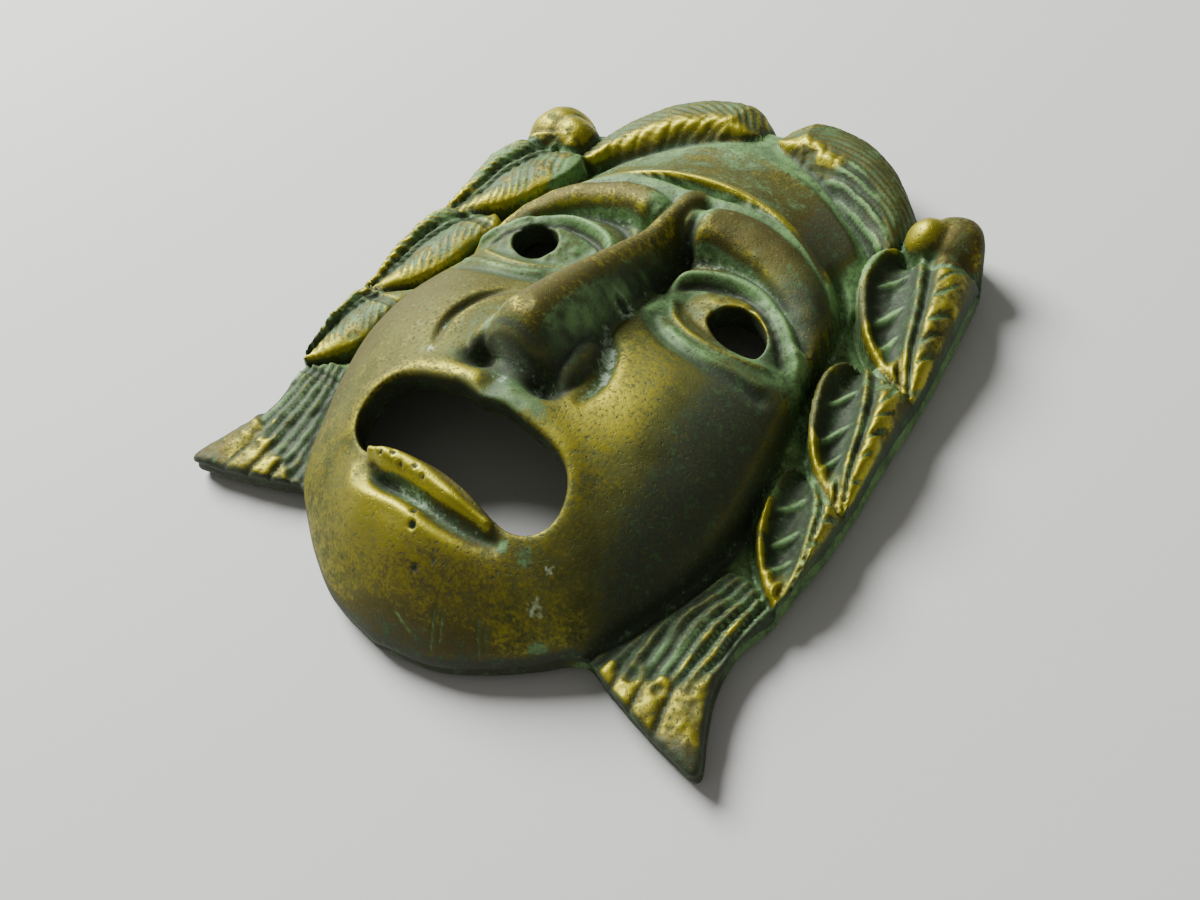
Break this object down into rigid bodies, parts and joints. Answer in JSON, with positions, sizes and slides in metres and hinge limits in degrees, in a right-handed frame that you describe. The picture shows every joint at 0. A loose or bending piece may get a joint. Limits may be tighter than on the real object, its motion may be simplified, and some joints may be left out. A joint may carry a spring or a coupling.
{
  "type": "theatre mask",
  "caption": "Cast bronze tragic theatre mask with pierced eyes, a gaping mouth, a leaf wreath and fluted ribbon ends, hollow behind, lying flat on its back rim.",
  "frame": {"origin": "middle of the bounding box, on the plane of the flat back rim", "axes": "+X to the viewer's right looking at the face, +Y to the top of the head, +Z out of the face"},
  "size_m": [0.07, 0.0796, 0.0208],
  "materials": {
    "bronze": "aged bronze, worn bright on the high points, green verdigris and dark tarnish in the grooves"
  },
  "bodies": {
    "root": {"theatre_mask": "bronze"}
  },
  "joints": []
}
